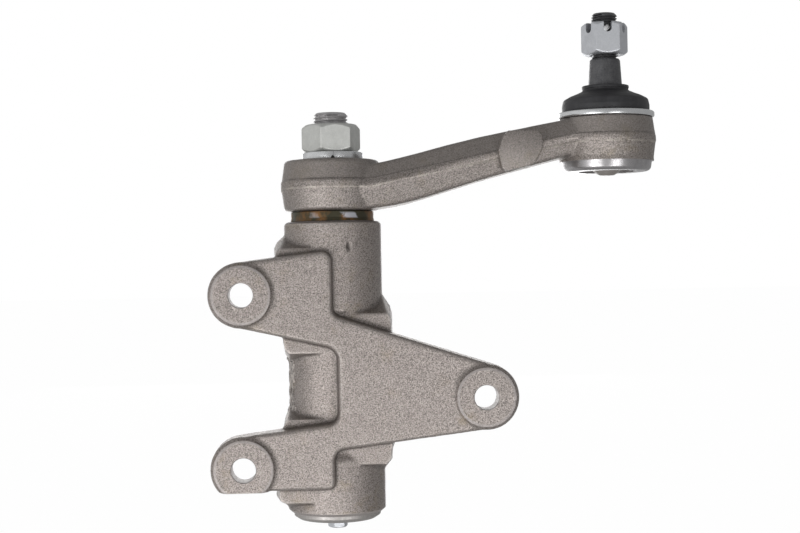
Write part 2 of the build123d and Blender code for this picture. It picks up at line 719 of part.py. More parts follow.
def dust_boot():
    """Rubber bulb from the flange on the housing up to the collar on the stud."""
    base_z = housing_top_z + rubber_clearance
    inner_r = boot_base_r - boot_wall
    collar_z = housing_top_z + boot_collar_rise
    collar_top_z = collar_z + boot_collar_height
    shoulder_z = housing_top_z + boot_shoulder_rise
    crown_z = housing_top_z + boot_crown_rise
    bore_r = stud_land_r + rubber_clearance
    groove_r = bore_r + neck_ring_section
    groove_z = collar_z + boot_collar_height / 2
    half_groove = neck_ring_section / 2 + running_clearance
    return at_ball(turned([
        (inner_r, base_z), (boot_flange_r, base_z), (boot_flange_r, base_z + boot_flange_height),
        (boot_base_r, base_z + boot_flange_height), (boot_base_r, shoulder_z),
        (boot_base_r - boot_wall / 2, crown_z), (boot_crown_r, crown_z + boot_wall),
        (boot_waist_r + boot_wall / 2, collar_z - boot_wall / 2), (boot_waist_r, collar_z),
        (boot_collar_r, collar_z + boot_wall / 2), (boot_collar_r, collar_top_z), (bore_r, collar_top_z),
        (bore_r, groove_z + half_groove), (groove_r + running_clearance, groove_z + half_groove),
        (groove_r + running_clearance, groove_z - half_groove), (bore_r, groove_z - half_groove),
        (bore_r, collar_z - boot_wall), (boot_crown_r - boot_wall / 2, crown_z), (inner_r - boot_wall / 2, crown_z - boot_wall),
        (inner_r, shoulder_z)]))


def boot_neck_ring():
    """Wire ring in the groove of the boot's collar, which grips the stud's land."""
    groove_z = housing_top_z + boot_collar_rise + boot_collar_height / 2
    inner_r = stud_land_r + rubber_clearance
    half = neck_ring_section / 2
    return at_ball(ring(inner_r + neck_ring_section, inner_r, groove_z - half, groove_z + half))


write("bracket", bracket())
write("upper_bush", bush(barrel_top_z - upper_bush_length, upper_bush_length))
write("lower_bush", bush(chamber_top_z, lower_bush_length))
write("upper_thrust_ring", ring(
    journal_r + loose_clearance + thrust_ring_wall, journal_r + loose_clearance,
    barrel_top_z, barrel_top_z + thrust_ring_height))
write("lower_thrust_washer", ring(
    shaft_head_r, journal_r + loose_clearance, chamber_top_z - thrust_washer_height, chamber_top_z))
write("idler_shaft", idler_shaft())
write("seal_shell", seal_shell())
write("seal_lip", seal_lip())
write("end_cap", end_cap())
write("cap_o_ring", cap_o_ring())
write("grease_plug", grease_plug())
write("arm", arm())
write("spring_washer", spring_washer())
write("shaft_nut", shaft_nut())
write("upper_ball_seat", upper_ball_seat())
write("pressure_cup", pressure_cup())
write("disc_spring", disc_spring())
write("cover_plate", cover_plate())
write("ball_stud", ball_stud())
write("castle_nut", castle_nut())
write("boot_ring", boot_ring())
write("dust_boot", dust_boot())
write("boot_neck_ring", boot_neck_ring())
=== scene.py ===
from math import cos, pi, radians, sin, sqrt, tan

import bmesh
import bpy
from mathutils import Matrix, Vector, noise


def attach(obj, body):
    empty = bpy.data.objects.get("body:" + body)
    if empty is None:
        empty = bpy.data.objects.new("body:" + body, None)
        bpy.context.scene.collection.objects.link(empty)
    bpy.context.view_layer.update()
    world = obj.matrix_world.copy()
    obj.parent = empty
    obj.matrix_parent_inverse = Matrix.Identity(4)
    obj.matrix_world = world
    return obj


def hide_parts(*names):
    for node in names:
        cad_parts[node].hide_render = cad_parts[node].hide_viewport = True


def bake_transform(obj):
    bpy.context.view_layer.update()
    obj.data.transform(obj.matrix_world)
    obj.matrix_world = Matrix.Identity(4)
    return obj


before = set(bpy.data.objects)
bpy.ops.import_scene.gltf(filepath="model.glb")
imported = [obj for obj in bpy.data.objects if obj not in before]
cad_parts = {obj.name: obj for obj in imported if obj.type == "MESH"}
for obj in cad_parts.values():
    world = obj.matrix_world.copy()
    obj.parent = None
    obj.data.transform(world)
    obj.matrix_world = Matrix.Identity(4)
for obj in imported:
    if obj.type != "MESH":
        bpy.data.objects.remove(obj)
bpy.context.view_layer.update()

# Camera
# The photograph was taken level from about 0.7 m, a little from the left, with the
# object leaning one degree to the left in the picture.
picture_middle = Vector((0.03099, 0, 0.11719))
camera_distance = 0.7
camera_turn = radians(2.5)
camera_lean = radians(1.05)
ahead = Vector((sin(camera_turn), cos(camera_turn), 0))
level_right = Vector((cos(camera_turn), -sin(camera_turn), 0))
upward = Vector((0, 0, 1))
camera_right = level_right * cos(camera_lean) - upward * sin(camera_lean)
camera_up = level_right * sin(camera_lean) + upward * cos(camera_lean)
camera_place = picture_middle - ahead * camera_distance
camera_data = bpy.data.cameras.new("camera")
camera_data.sensor_width = 36
camera_data.lens = 67.74
camera = bpy.data.objects.new("camera", camera_data)
camera.matrix_world = Matrix((
    (camera_right.x, camera_up.x, -ahead.x, camera_place.x),
    (camera_right.y, camera_up.y, -ahead.y, camera_place.y),
    (camera_right.z, camera_up.z, -ahead.z, camera_place.z),
    (0, 0, 0, 1)))
bpy.context.scene.collection.objects.link(camera)
bpy.context.scene.camera = camera
bpy.context.scene.view_settings.view_transform = "Standard"

# Shot-blasted skin
# Bracket and arm are bare blasted metal: a dull warm grey full of tiny bright and
# dark pits, with faint ochre stains, painted shade in the corners, and sharp edges lightened partly by wear,
# partly by a painted highlight.
MM = 0.001


def node_at(tree, kind, x, y, **values):
    """A node placed on the sheet, with its plain settings and unlinked inputs."""
    made = tree.nodes.new(kind)
    made.location = (x, y)
    for name, value in values.items():
        if hasattr(made, name):
            setattr(made, name, value)
        else:
            made.inputs[name.replace("_", " ").title()].default_value = value
    return made


def grey_ramp(tree, x, y, source, low, high, low_value=0.0, high_value=1.0):
    """Stretches a value between two limits onto two others."""
    made = tree.nodes.new("ShaderNodeMapRange")
    made.location = (x, y)
    made.inputs["From Min"].default_value = low
    made.inputs["From Max"].default_value = high
    made.inputs["To Min"].default_value = low_value
    made.inputs["To Max"].default_value = high_value
    tree.links.new(source, made.inputs["Value"])
    return made.outputs["Result"]


def mixed_colour(tree, x, y, share, first, second):
    """Two colours, each a socket or a plain colour, mixed by a share."""
    made = tree.nodes.new("ShaderNodeMix")
    made.location = (x, y)
    made.data_type = "RGBA"
    for socket, value in ((made.inputs["Factor"], share), (made.inputs[6], first), (made.inputs[7], second)):
        if isinstance(value, bpy.types.NodeSocket):
            tree.links.new(value, socket)
        elif isinstance(value, (int, float)):
            socket.default_value = value
        else:
            socket.default_value = (*value, 1)
    return made.outputs[2]


def combined(tree, x, y, operation, first, second):
    """A sum, product or the like of two values."""
    made = tree.nodes.new("ShaderNodeMath")
    made.location = (x, y)
    made.operation = operation
    for socket, value in zip(made.inputs, (first, second)):
        if isinstance(value, bpy.types.NodeSocket):
            tree.links.new(value, socket)
        else:
            socket.default_value = value
    return made.outputs[0]


def between(tree, x, y, source, rise, fall):
    """A mask that goes up over one span of a value and down again over another."""
    return combined(tree, x, y, "MULTIPLY", grey_ramp(tree, x - 150, y, source, *rise),
                    grey_ramp(tree, x - 150, y - 200, source, *fall))


def tinted(tree, x, y, colour, mask, strength, tint):
    """A colour with another laid over it, as far as a mask and a strength say."""
    share = combined(tree, x - 150, y + 200, "MULTIPLY", mask, strength)
    return mixed_colour(tree, x, y, share, colour, tint)


def in_object_space(tree, *textures):
    """Feeds the place on the piece, which moves with it, into textures."""
    place = tree.nodes.new("ShaderNodeTexCoord")
    place.location = (-1200, 0)
    for texture in textures:
        tree.links.new(place.outputs["Object"], texture.inputs["Vector"])


def new_group(name, inputs, outputs):
    """An empty node group with float inputs and float or colour outputs."""
    tree = bpy.data.node_groups.new(name, "ShaderNodeTree")
    for title, default in inputs:
        kind = "NodeSocketFloat" if isinstance(default, (int, float)) else "NodeSocketColor"
        socket = tree.interface.new_socket(name=title, in_out="INPUT", socket_type=kind)
        socket.default_value = default if kind == "NodeSocketFloat" else (*default, 1)
    for title, kind in outputs:
        tree.interface.new_socket(name=title, in_out="OUTPUT", socket_type=kind)
    entry = tree.nodes.new("NodeGroupInput")
    entry.location = (-900, 0)
    leave = tree.nodes.new("NodeGroupOutput")
    leave.location = (900, 0)
    return tree, entry, leave


def blasted_skin_group():
    """Bright and dark pits, ochre stains, painted shade in the hollows, and sharp edges lightened partly by
    wear, partly by a painted highlight.
    """
    tree, entry, leave = new_group(
        "blasted_skin",
        [("Light", (0.5, 0.5, 0.5)), ("Dark", (0.2, 0.2, 0.2)), ("Stain", (0.3, 0.2, 0.1)),
         ("Grain Size", 900.0), ("Stain Share", 0.3), ("Dirt", 0.5), ("Worn Edges", 0.3)],
        [("Colour", "NodeSocketColor"), ("Height", "NodeSocketFloat"), ("Roughness", "NodeSocketFloat")])
    coarse = node_at(tree, "ShaderNodeTexNoise", -600, 300, detail=4.0, roughness=0.75)
    fine = node_at(tree, "ShaderNodeTexNoise", -600, 0, detail=2.0, roughness=0.6)
    pits = node_at(tree, "ShaderNodeTexVoronoi", -600, -300)
    patches = node_at(tree, "ShaderNodeTexNoise", -600, -600, scale=34.0, detail=3.0, roughness=0.6)
    stains = node_at(tree, "ShaderNodeTexNoise", -600, -900, scale=85.0, detail=5.0, roughness=0.7)
    in_object_space(tree, coarse, fine, pits, patches, stains)
    size = entry.outputs["Grain Size"]
    tree.links.new(size, coarse.inputs["Scale"])
    tree.links.new(combined(tree, -750, 0, "MULTIPLY", size, 2.3), fine.inputs["Scale"])
    tree.links.new(combined(tree, -750, -300, "MULTIPLY", size, 1.25), pits.inputs["Scale"])
    grain = grey_ramp(tree, -400, 300, coarse.outputs["Fac"], 0.36, 0.64)
    speck = grey_ramp(tree, -400, 0, fine.outputs["Fac"], 0.35, 0.65)
    pitting = grey_ramp(tree, -400, -300, pits.outputs["Distance"], 0.0, 0.55)
    surface = combined(tree, -200, 200, "ADD", combined(tree, -300, 200, "MULTIPLY", grain, 0.55),
                       combined(tree, -300, 50, "MULTIPLY", speck, 0.25))
    surface = combined(tree, -100, 100, "ADD", surface, combined(tree, -300, -150, "MULTIPLY", pitting, 0.3))
    colour = mixed_colour(tree, 50, 300, grey_ramp(tree, -50, 300, surface, 0.28, 0.88),
                          entry.outputs["Dark"], entry.outputs["Light"])
    patch = grey_ramp(tree, -200, -600, patches.outputs["Fac"], 0.45, 0.65)
    stain = grey_ramp(tree, -200, -900, stains.outputs["Fac"], 0.52, 0.72)
    stained = combined(tree, 50, -600, "MULTIPLY", stain, patch)
    colour = tinted(tree, 350, 300, colour, stained, entry.outputs["Stain Share"], entry.outputs["Stain"])
    shape = tree.nodes.new("ShaderNodeNewGeometry")
    shape.location = (200, -300)
    # Painted shade: hollows, where Pointiness is low, are darkened towards near black.
    hollow_shade_mask = grey_ramp(tree, 400, -300, shape.outputs["Pointiness"], 0.5, 0.44)
    colour = tinted(tree, 600, 300, colour, hollow_shade_mask, entry.outputs["Dirt"], (0.06, 0.055, 0.05))
    # Sharp convex edges are lightened: partly wear, partly a painted highlight.
    edge_wear_and_highlight_mask = grey_ramp(tree, 400, -500, shape.outputs["Pointiness"], 0.51, 0.55)
    colour = tinted(tree, 800, 300, colour, edge_wear_and_highlight_mask, entry.outputs["Worn Edges"], (0.75, 0.69, 0.65))
    tree.links.new(colour, leave.inputs["Colour"])
    tree.links.new(surface, leave.inputs["Height"])
    tree.links.new(grey_ramp(tree, 600, 0, surface, 0.2, 0.9, 0.5, 0.36), leave.inputs["Roughness"])
    return tree


blasted_skin = blasted_skin_group()


def new_material(name, **values):
    """A material with a Principled shader and its plain values."""
    material = bpy.data.materials.new(name)
    material.use_nodes = True
    shader = material.node_tree.nodes["Principled BSDF"]
    for title, value in values.items():
        socket = shader.inputs[title.replace("_", " ").title()]
        socket.default_value = (*value, 1) if isinstance(value, tuple) else value
    return material, material.node_tree, shader


def bumped(tree, shader, height, distance, under=None):
    """Feeds a relief of so many millimetres into the shader's normal, on top of another relief."""
    bump = tree.nodes.new("ShaderNodeBump")
    bump.location = (-200, -400)
    bump.inputs["Strength"].default_value = 1.0
    bump.inputs["Distance"].default_value = distance * MM
    tree.links.new(height, bump.inputs["Height"])
    if under:
        tree.links.new(under.outputs["Normal"], bump.inputs["Normal"])
    tree.links.new(bump.outputs["Normal"], shader.inputs["Normal"])
    return bump


def surface_material(name, group, metallic, relief, **values):
    """A metal whose colour, roughness and relief come from a node group with its own values."""
    material, tree, shader = new_material(name, metallic=metallic)
    skin = tree.nodes.new("ShaderNodeGroup")
    skin.node_tree = group
    skin.location = (-600, 0)
    for title, value in values.items():
        socket = skin.inputs[title.replace("_", " ").title()]
        socket.default_value = (*value, 1) if isinstance(value, tuple) else value
    tree.links.new(skin.outputs["Colour"], shader.inputs["Base Color"])
    tree.links.new(skin.outputs["Roughness"], shader.inputs["Roughness"])
    bumped(tree, shader, skin.outputs["Height"], relief)
    return material


def stored_value(tree, name):
    """The value that a mesh holds on its points under a name."""
    return node_at(tree, "ShaderNodeAttribute", -900, -600, attribute_name=name).outputs["Fac"]


def chipped_strip(material):
    """Light and dark chips where flash was trimmed, drawn out down the barrel, and painted shade darkening a
    small dent.
    """
    tree = material.node_tree
    shader = tree.nodes["Principled BSDF"]
    trimmed = stored_value(tree, "trimmed_flash")
    chips = node_at(tree, "ShaderNodeTexNoise", -900, -900, scale=1.0, detail=3.0, roughness=0.7)
    drawn_out = node_at(tree, "ShaderNodeVectorMath", -1050, -900, operation="MULTIPLY")
    drawn_out.inputs[1].default_value = (900.0, 900.0, 330.0)
    in_object_space(tree, drawn_out)
    tree.links.new(drawn_out.outputs["Vector"], chips.inputs["Vector"])
    high = grey_ramp(tree, -750, -900, chips.outputs["Fac"], 0.48, 0.57)
    low = grey_ramp(tree, -750, -1100, chips.outputs["Fac"], 0.5, 0.38)
    light = combined(tree, -600, -900, "MULTIPLY", trimmed, high)
    dark = combined(tree, -600, -1100, "MULTIPLY", trimmed, low)
    colour = shader.inputs["Base Color"].links[0].from_socket
    colour = tinted(tree, -300, 500, colour, light, 0.6, (0.8, 0.74, 0.69))
    colour = tinted(tree, -150, 500, colour, dark, 0.6, (0.08, 0.07, 0.06))
    # Painted shade: the dent is darkened nearly to black, the more the deeper it goes.
    colour = tinted(tree, 0, 500, colour, stored_value(tree, "dent_depth"), 0.9, (0.03, 0.026, 0.022))
    tree.links.new(colour, shader.inputs["Base Color"])


def parting_seam(material):
    """Adds the low step that the dies leave along the line stored on the mesh, with a painted shadow line
    above it, a painted highlight line below it and painted shade evening out the tone above it.
    """
    tree = material.node_tree
    shader = tree.nodes["Principled BSDF"]
    rise = stored_value(tree, "parting_rise")
    band = between(tree, -600, -600, rise, (-2.1, -1.6), (2.2, 1.7))
    painted_shadow_line = between(tree, -600, -1000, rise, (1.4, 1.8), (2.9, 2.1))
    painted_highlight_line = between(tree, -600, -1400, rise, (-2.6, -2.1), (-1.4, -1.8))
    broken = node_at(tree, "ShaderNodeTexNoise", -900, -1800, scale=110.0, detail=6.0, roughness=0.75)
    in_object_space(tree, broken)
    shown = grey_ramp(tree, -750, -1800, broken.outputs["Fac"], 0.42, 0.58, 0.1, 1.0)
    painted_shadow_line = combined(tree, -450, -1000, "MULTIPLY", painted_shadow_line, shown)
    painted_highlight_line = combined(tree, -450, -1400, "MULTIPLY", painted_highlight_line, shown)
    grain_bump = shader.inputs["Normal"].links[0].from_node
    grain_height = grain_bump.inputs["Height"].links[0].from_socket
    grain_distance = grain_bump.inputs["Distance"].default_value / MM
    tree.nodes.remove(grain_bump)
    step = bumped(tree, shader, band, 0.16)
    bumped(tree, shader, grain_height, grain_distance, step)
    colour = shader.inputs["Base Color"].links[0].from_socket
    # Painted shade: above the parting line the speckle is evened out towards a flat mid grey.
    painted_upper_shade = grey_ramp(tree, -600, 300, rise, 0.5, 3.0, 0.0, 0.5)
    colour = mixed_colour(tree, -450, 300, painted_upper_shade, colour, (0.265, 0.24, 0.224))
    # A painted shadow line just above the step, and a painted highlight line just below it.
    colour = tinted(tree, -300, 500, colour, painted_shadow_line, 0.34, (0.09, 0.082, 0.075))
    colour = tinted(tree, -150, 500, colour, painted_highlight_line, 0.4, (0.72, 0.66, 0.58))
    tree.links.new(colour, shader.inputs["Base Color"])


blasted_iron = surface_material(
    "blasted_iron", blasted_skin, 0.7, 0.1, light=(0.485, 0.431, 0.402), dark=(0.09, 0.08, 0.0735),
    stain=(0.3, 0.235, 0.14), grain_size=1600.0, stain_share=0.65, dirt=0.7, worn_edges=0.45)
chipped_strip(blasted_iron)

# Machined faces
# The seats round the bolt holes, the ends of the barrel and all bores are cut bare
# after blasting. They are smoother and lighter than the skin, with fine tool marks.


def tool_marks_group():
    """Fine specks and a slight cloudiness on a cut, plated or pressed face."""
    tree, entry, leave = new_group(
        "tool_marks",
        [("Light", (0.6, 0.6, 0.6)), ("Dark", (0.4, 0.4, 0.4)), ("Cloud Size", 160.0), ("Marks", 0.3),
         ("Roughness", 0.42)],
        [("Colour", "NodeSocketColor"), ("Height", "NodeSocketFloat"), ("Roughness", "NodeSocketFloat")])
    clouds = node_at(tree, "ShaderNodeTexNoise", -600, 300, detail=5.0, roughness=0.7)
    specks = node_at(tree, "ShaderNodeTexNoise", -600, 0, scale=2400.0, detail=2.0)
    in_object_space(tree, clouds, specks)
    tree.links.new(entry.outputs["Cloud Size"], clouds.inputs["Scale"])
    cloud = grey_ramp(tree, -400, 300, clouds.outputs["Fac"], 0.35, 0.65)
    speck = grey_ramp(tree, -400, 0, specks.outputs["Fac"], 0.3, 0.7)
    share = combined(tree, -200, 200, "ADD", combined(tree, -300, 200, "MULTIPLY", cloud, 0.6),
                     combined(tree, -300, 0, "MULTIPLY", speck, 0.4))
    colour = mixed_colour(tree, 100, 200, share, entry.outputs["Dark"], entry.outputs["Light"])
    tree.links.new(colour, leave.inputs["Colour"])
    marks = combined(tree, 100, -100, "MULTIPLY", speck, entry.outputs["Marks"])
    tree.links.new(marks, leave.inputs["Height"])
    polish = grey_ramp(tree, 100, -300, share, 0.0, 1.0, 0.08, -0.08)
    polish = combined(tree, 300, -300, "ADD", polish, entry.outputs["Roughness"])
    tree.links.new(polish, leave.inputs["Roughness"])
    return tree


tool_marks = tool_marks_group()
seat_face = surface_material(
    "machined_seat", tool_marks, 0.45, 0.04, light=(0.53, 0.482, 0.462), dark=(0.28, 0.254, 0.243),
    cloud_size=1500.0, marks=1.6, roughness=0.5)

# Bracket
# One iron casting, shot-blasted, then machined only at the three bolt seats, the
# bolt holes, both barrel ends and the bore. Its trimmed flash stays on the barrel.


def softened(corners, steps=4):
    """A closed outline of (radius, height, rounding) corners, turned into plain points."""
    points = []
    for index, (r, z, rounding) in enumerate(corners):
        here = Vector((r, z))
        if not rounding:
            points.append((r, z))
            continue
        back = (Vector(corners[index - 1][:2]) - here).normalized()
        onward = (Vector(corners[(index + 1) % len(corners)][:2]) - here).normalized()
        half = back.angle(onward) / 2
        centre = here + (back + onward).normalized() * rounding / sin(half)
        start = here + back * rounding / tan(half) - centre
        finish = here + onward * rounding / tan(half) - centre
        for step in range(steps + 1):
            points.append(tuple(centre + start.lerp(finish, step / steps).normalized() * rounding))
    return points


def turned(points, steps=96):
    """A closed outline of (radius, height) points spun about the upright axis, in mm."""
    bm = bmesh.new()
    corners = [bm.verts.new((r, 0, z)) for r, z in points]
    sides = [bm.edges.new(pair) for pair in zip(corners, corners[1:] + corners[:1])]
    bmesh.ops.spin(bm, geom=corners + sides, cent=(0, 0, 0), axis=(0, 0, 1), angle=2 * pi,
                   steps=steps, use_merge=True, use_normal_flip=False, use_duplicate=False)
    bmesh.ops.remove_doubles(bm, verts=bm.verts, dist=1e-4)
    bmesh.ops.dissolve_degenerate(bm, edges=bm.edges, dist=1e-5)
    bmesh.ops.recalc_face_normals(bm, faces=bm.faces)
    return bm


def rod(radius, low, high, steps=96):
    """A plain upright cylinder in mm."""
    return turned([(0, low), (radius, low), (radius, high), (0, high)], steps)


def prism(points, near, far):
    """A flat shape of (x, z) points drawn out along Y, in mm."""
    bm = bmesh.new()
    face = bm.faces.new([bm.verts.new((x, near, z)) for x, z in points])
    grown = bmesh.ops.extrude_face_region(bm, geom=[face])["geom"]
    moved = [item for item in grown if isinstance(item, bmesh.types.BMVert)]
    bmesh.ops.translate(bm, verts=moved, vec=(0, far - near, 0))
    bmesh.ops.recalc_face_normals(bm, faces=bm.faces)
    return bm


def placed(bm, x=0.0, y=0.0, z=0.0, turn=0.0):
    """Turns a shape about the upright axis and then moves it, in mm."""
    bmesh.ops.rotate(bm, verts=bm.verts, cent=(0, 0, 0), matrix=Matrix.Rotation(radians(turn), 3, "Z"))
    bmesh.ops.translate(bm, verts=bm.verts, vec=(x, y, z))
    return bm


def facing_front(bm, x, z):
    """Lays an upright shape down along -Y at a place in the picture plane."""
    bmesh.ops.rotate(bm, verts=bm.verts, cent=(0, 0, 0), matrix=Matrix.Rotation(radians(90), 3, "X"))
    return placed(bm, x, 0, z)


def poured(target, *shapes):
    """Adds shapes in mm to a mesh in metres."""
    for shape in shapes:
        bmesh.ops.scale(shape, verts=shape.verts, vec=(MM, MM, MM))
        held = bpy.data.meshes.new("held")
        shape.to_mesh(held)
        shape.free()
        target.from_mesh(held)
        bpy.data.meshes.remove(held)
    return target


def linked(name, bm, *materials):
    """Puts a mesh in the scene as a piece with its materials."""
    mesh = bpy.data.meshes.new(name)
    bm.to_mesh(mesh)
    bm.free()
    for material in materials:
        mesh.materials.append(material)
    piece = bpy.data.objects.new(name, mesh)
    bpy.context.scene.collection.objects.link(piece)
    return piece


def solid(name, shape, *materials):
    """A shape in mm as a piece of the scene."""
    return linked(name, poured(bmesh.new(), shape), *materials)


def applied(piece):
    """Bakes a piece's modifiers into its mesh."""
    bpy.context.view_layer.update()
    shape = piece.evaluated_get(bpy.context.evaluated_depsgraph_get())
    mesh = bpy.data.meshes.new_from_object(shape)
    piece.modifiers.clear()
    old = piece.data
    piece.data = mesh
    bpy.data.meshes.remove(old)
    mesh.name = piece.name


def carved(piece, cutters, operation="DIFFERENCE", slot=0):
    """Cuts shapes in mm out of a piece, or joins them to it, and bakes the result."""
    tools = []
    for index, cutter in enumerate(cutters):
        tool = solid(f"tool_{index}", cutter, *piece.data.materials)
        for face in tool.data.polygons:
            face.material_index = slot
        cut = piece.modifiers.new(f"cut_{index}", "BOOLEAN")
        cut.operation = operation
        cut.solver = "MANIFOLD"
        cut.object = tool
        tools.append(tool)
    applied(piece)
    for tool in tools:
        bpy.data.meshes.remove(tool.data)


def shaded(piece, sharp_angle):
    """Smooth shading that stays sharp where faces meet at more than the angle."""
    mesh = piece.data
    mesh.polygons.foreach_set("use_smooth", [True] * len(mesh.polygons))
    mesh.set_sharp_from_angle(angle=radians(sharp_angle))
    mesh.update()


def fitted(piece, node, body):
    """Puts a finished piece in its node's place on its body."""
    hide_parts(node)
    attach(piece, body)


def stored(piece, title, value_at):
    """Keeps a value on every point of a piece, worked out from its place in mm."""
    values = piece.data.attributes.new(title, "FLOAT", "POINT")
    for vert in piece.data.vertices:
        values.data[vert.index].value = value_at(vert.co / MM)


def cast_lumps(place):
    """The slight unevenness of a cast or forged skin, in mm at a place in mm."""
    return (noise.noise(place * 0.13) * 0.6 + noise.noise(place * 0.42) * 0.4) * 0.11


def as_cast(name, node, stock, grain, passes, relief, *materials):
    """A node's mesh filled up with stock, melted to soft edges and given relief within its own box."""
    bm = bmesh.new()
    bm.from_mesh(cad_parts[node].data)
    bmesh.ops.remove_doubles(bm, verts=bm.verts, dist=1e-6)
    low = [min(vert.co[axis] for vert in bm.verts) for axis in range(3)]
    high = [max(vert.co[axis] for vert in bm.verts) for axis in range(3)]
    poured(bm, *stock)
    piece = linked(name, bm, *materials)
    melt = piece.modifiers.new("melt", "REMESH")
    melt.mode = "VOXEL"
    melt.voxel_size = grain * MM
    soften = piece.modifiers.new("soften", "SMOOTH")
    soften.factor = 0.5
    soften.iterations = passes
    applied(piece)
    skin = bmesh.new()
    skin.from_mesh(piece.data)
    skin.normal_update()
    for vert in skin.verts:
        vert.co += vert.normal * relief(vert.co / MM) * MM
        vert.co = [min(max(vert.co[axis], low[axis]), high[axis]) for axis in range(3)]
    skin.to_mesh(piece.data)
    skin.free()
    return piece


barrel_top, barrel_foot = 138.5, 3.8
cap_seat_r, bush_seat_r, seal_seat_r = 20.0, 13.54, 17.6
seat_front = 29.8
seat_r, bolt_hole_r = 13.8, 5.5
bolt_places = ((-41.4, 105.6), (-41.4, 27.9), (67.5, 58.0))
lower_lug_foot = 17.9
bracket_stock = [rod(21.0, barrel_foot, barrel_top)]
for x, z in bolt_places:
    bracket_stock.append(facing_front(rod(8.0, 19.0, 29.0), x, z))
    seat = facing_front(turned([
        (0, 26.0), (14.9, 26.0), (14.7, 28.0), (seat_r, 28.8), (13.1, seat_front), (12.6, 31.0),
        (0, 31.0)]), x, z)
    bmesh.ops.bisect_plane(seat, geom=seat.verts[:] + seat.edges[:] + seat.faces[:],
                           plane_co=(0, 0, lower_lug_foot), plane_no=(0, 0, -1), clear_outer=True)
    bmesh.ops.holes_fill(seat, edges=seat.edges)
    bracket_stock.append(seat)
dent_place = Vector((7.1, -21.3, 126.7))
dent_reach = 1.4
flash_low, flash_high, flash_half_width = 47.0, 80.0, 9.6


def on_flash(place):
    """Whether a place in mm lies on the trimmed strip down either side of the waist."""
    side = abs(place.y) + 1.4 * noise.noise(place * 0.35)
    end = max(flash_low - place.z, place.z - flash_high) + 1.5 * noise.noise(place * 0.5)
    return sqrt(place.x ** 2 + place.y ** 2) < 22.0 and side < flash_half_width and end < 0


def dent_depth(place):
    """How deep a place in mm lies in the small dent near the barrel's top, from 0 to 1."""
    away = place - dent_place
    away.z *= 0.6
    return max(0.0, 1 - (away.length / dent_reach) ** 2)


def bracket_relief(place):
    """Lumps, a dent near the top and the chipped strips of trimmed flash on the waist."""
    height = cast_lumps(place) - 0.9 * dent_depth(place)
    if on_flash(place):
        height += 0.3 + 0.5 * noise.noise(Vector((place.x, place.y, place.z * 0.7)) * 0.8)
    return height


bracket = as_cast(
    "bracket_casting", "bracket", bracket_stock, 0.68, 2, bracket_relief, blasted_iron, seat_face)
bracket_bore = [
    (0, 0), (cap_seat_r, 0), (cap_seat_r, 8.8), (17.0, 8.8), (17.0, 17.2), (bush_seat_r, 17.2),
    (bush_seat_r, 135.0), (seal_seat_r, 135.0), (seal_seat_r, 142.0), (0, 142.0)]
top_edge = [
    (0, barrel_top), (20.6, barrel_top), (21.4, 138.2), (22.1, 137.5), (24.0, 137.2), (24.0, 142.0),
    (0, 142.0)]
foot_edge = [(0, 0), (24.0, 0), (24.0, 6.3), (22.4, 6.2), (20.9, 4.9), (0, 4.9)]
seat_rim = [(12.2, seat_front), (seat_r, seat_front - 0.34), (seat_r, 32.0), (12.2, 32.0)]
bolt_hole = [
    (0, 10.0), (bolt_hole_r, 10.0), (bolt_hole_r, seat_front - 0.35), (bolt_hole_r + 1.1, seat_front + 0.75),
    (0, seat_front + 0.75)]
seat_mill = prism([(-60, 10), (90, 10), (90, 130), (-60, 130)], -34.0, -seat_front)
bracket_cutters = [turned(bracket_bore), turned(top_edge), turned(foot_edge), seat_mill]
for x, z in bolt_places:
    bracket_cutters.append(facing_front(turned(seat_rim), x, z))
    bracket_cutters.append(facing_front(turned(bolt_hole, 64), x, z))
carved(bracket, bracket_cutters, slot=1)
stored(bracket, "trimmed_flash", on_flash)
stored(bracket, "dent_depth", dent_depth)
shaded(bracket, 38)
fitted(bracket, "bracket", "bracket_side")

# Arm
# One steel forging, shot-blasted: its parting line runs round at half height. The
# bore, the ball's seat and the skirt under the housing are turned bright afterwards.
arm_foot, arm_top = 143.4, 166.8
ball_x, ball_height = 128.6, 174.7
housing_top, housing_foot = 184.7, 159.7
blasted_steel = surface_material(
    "blasted_steel", blasted_skin, 0.7, 0.1, light=(0.445, 0.399, 0.37), dark=(0.085, 0.075, 0.0695),
    stain=(0.27, 0.22, 0.14), grain_size=1600.0, stain_share=0.6, dirt=0.7, worn_edges=0.0)
parting_seam(blasted_steel)
turned_steel = surface_material(
    "turned_steel", tool_marks, 1.0, 0.008, light=(0.46, 0.45, 0.455), dark=(0.32, 0.31, 0.315),
    cloud_size=300.0, marks=0.4, roughness=0.32)
skirt_top = 164.3
cover_r, cover_low, cover_high = 17.0, 160.9, 162.4
lip_bore_r, socket_r, socket_roof = 13.0, 14.5, 180.18
arm_stock = [
    rod(12.5, arm_foot + 0.3, arm_top - 0.3), placed(rod(17.5, housing_foot, housing_top - 0.4), ball_x),
    placed(rod(21.9, housing_foot - 1.0, 165.5), ball_x)]
arm = as_cast("arm_forging", "arm", arm_stock, 0.56, 2, cast_lumps, blasted_steel, turned_steel)
skirt = softened([
    (0, housing_foot, 0), (20.3, housing_foot, 2.3), (20.9, skirt_top, 0), (26.0, skirt_top, 0),
    (26.0, 150.0, 0), (0, 150.0, 0)], 6)
socket = [
    (0, 150.0), (lip_bore_r, 150.0), (lip_bore_r, cover_low), (cover_r, cover_low), (cover_r, cover_high),
    (socket_r, cover_high), (socket_r, socket_roof), (9.85, socket_roof), (13.1, 188.0), (0, 188.0)]
arm_bore = [(0, 140.0), (10.8, 140.0), (10.6, arm_foot), (9.14, arm_top), (9.0, 170.0), (0, 170.0)]
carved(arm, [turned(arm_bore), placed(turned(skirt), ball_x), placed(turned(socket), ball_x)], slot=1)
pad_face, pad_back = -19.5, -14.0
